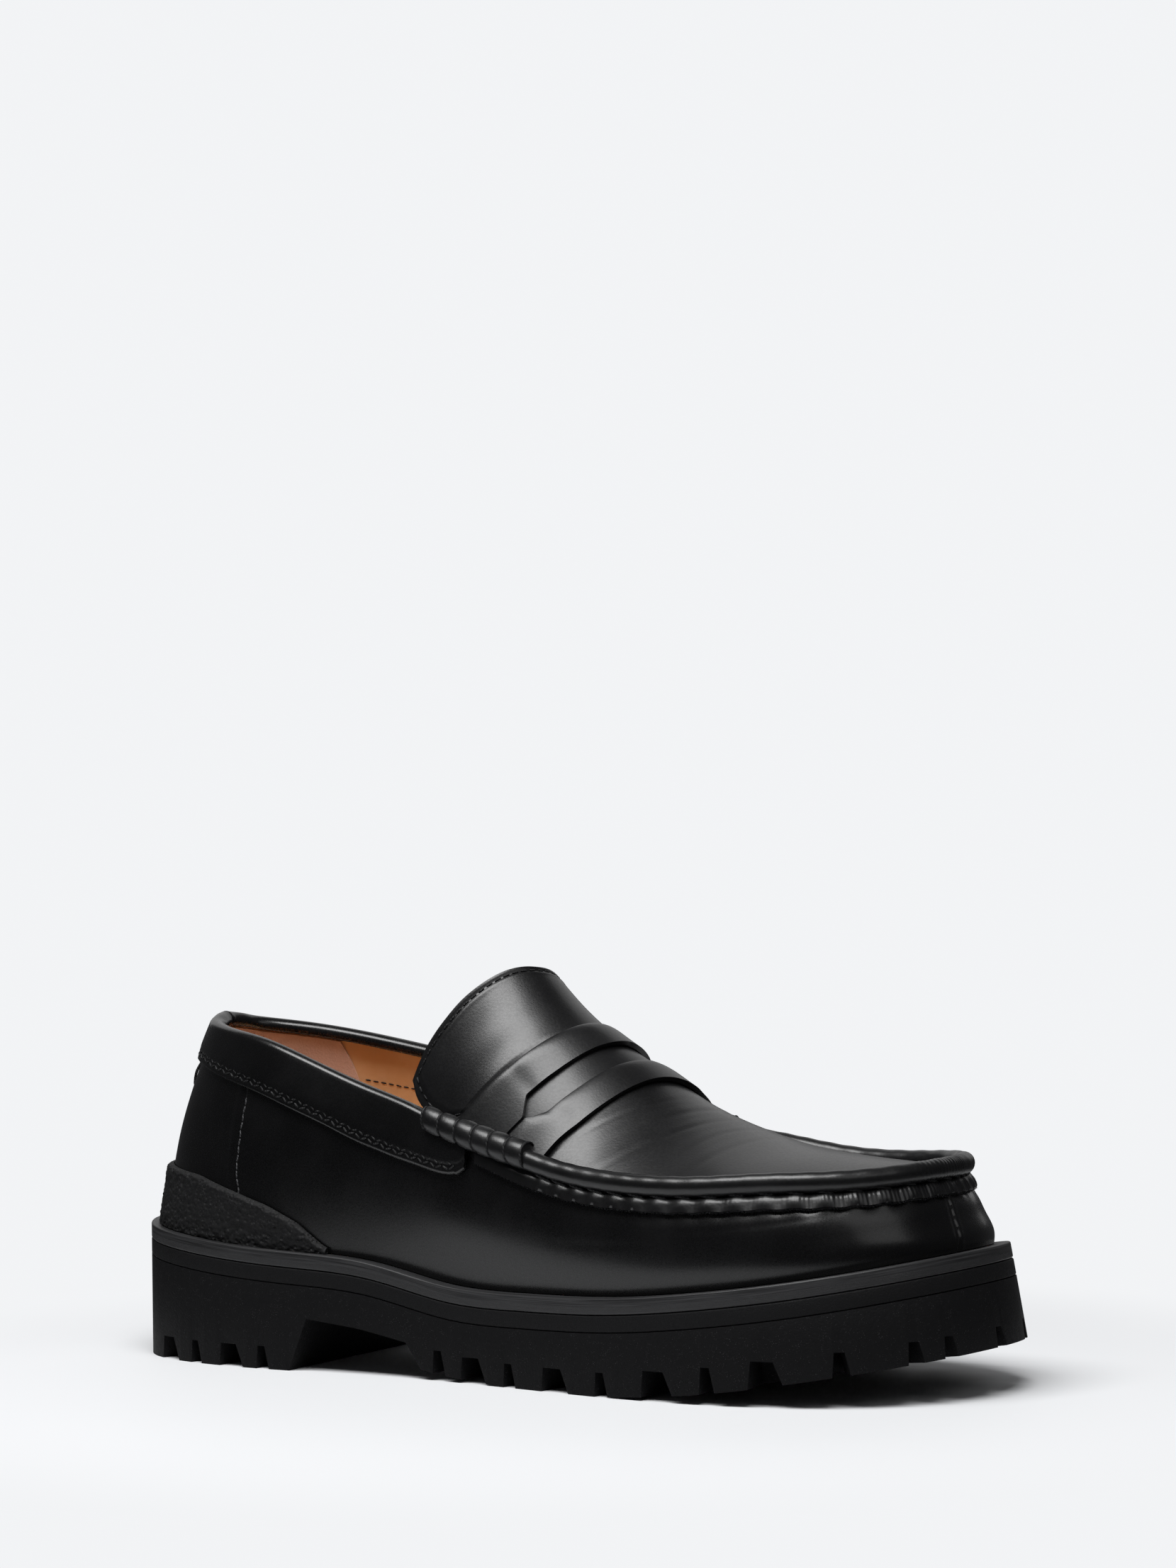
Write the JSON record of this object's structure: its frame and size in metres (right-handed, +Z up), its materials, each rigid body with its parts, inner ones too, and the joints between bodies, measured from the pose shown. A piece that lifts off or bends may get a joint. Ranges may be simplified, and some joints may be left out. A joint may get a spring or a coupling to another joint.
{
  "type": "loafer shoe",
  "caption": "Black leather penny loafer, right shoe, with a moccasin apron, a saddle strap with a slot, whipped strap ends and a thick lug sole with a heel.",
  "frame": {"origin": "on the floor plane, under the middle of the whole shoe's length and width", "axes": "+X from heel to toe, +Y to the medial (inner) side, +Z up"},
  "size_m": [0.3112, 0.113, 0.1296],
  "materials": {
    "leather_black": "polished smooth black leather",
    "welt_black": "brushed satin black",
    "midsole_black": "matte grained black",
    "rubber_black": "matte black rubber",
    "rand_black": "pitted crepe, matte",
    "lining_tan": "undyed tan lining leather"
  },
  "bodies": {
    "root": {"outsole": "rubber_black", "midsole": "midsole_black", "welt": "welt_black", "insole": "lining_tan", "upper": "leather_black", "tongue": "leather_black", "saddle_strap": "leather_black", "apron_bead": "leather_black", "beef_roll_lateral": "leather_black", "beef_roll_medial": "leather_black", "collar_band": "leather_black", "heel_wrap": "rand_black"}
  },
  "joints": []
}
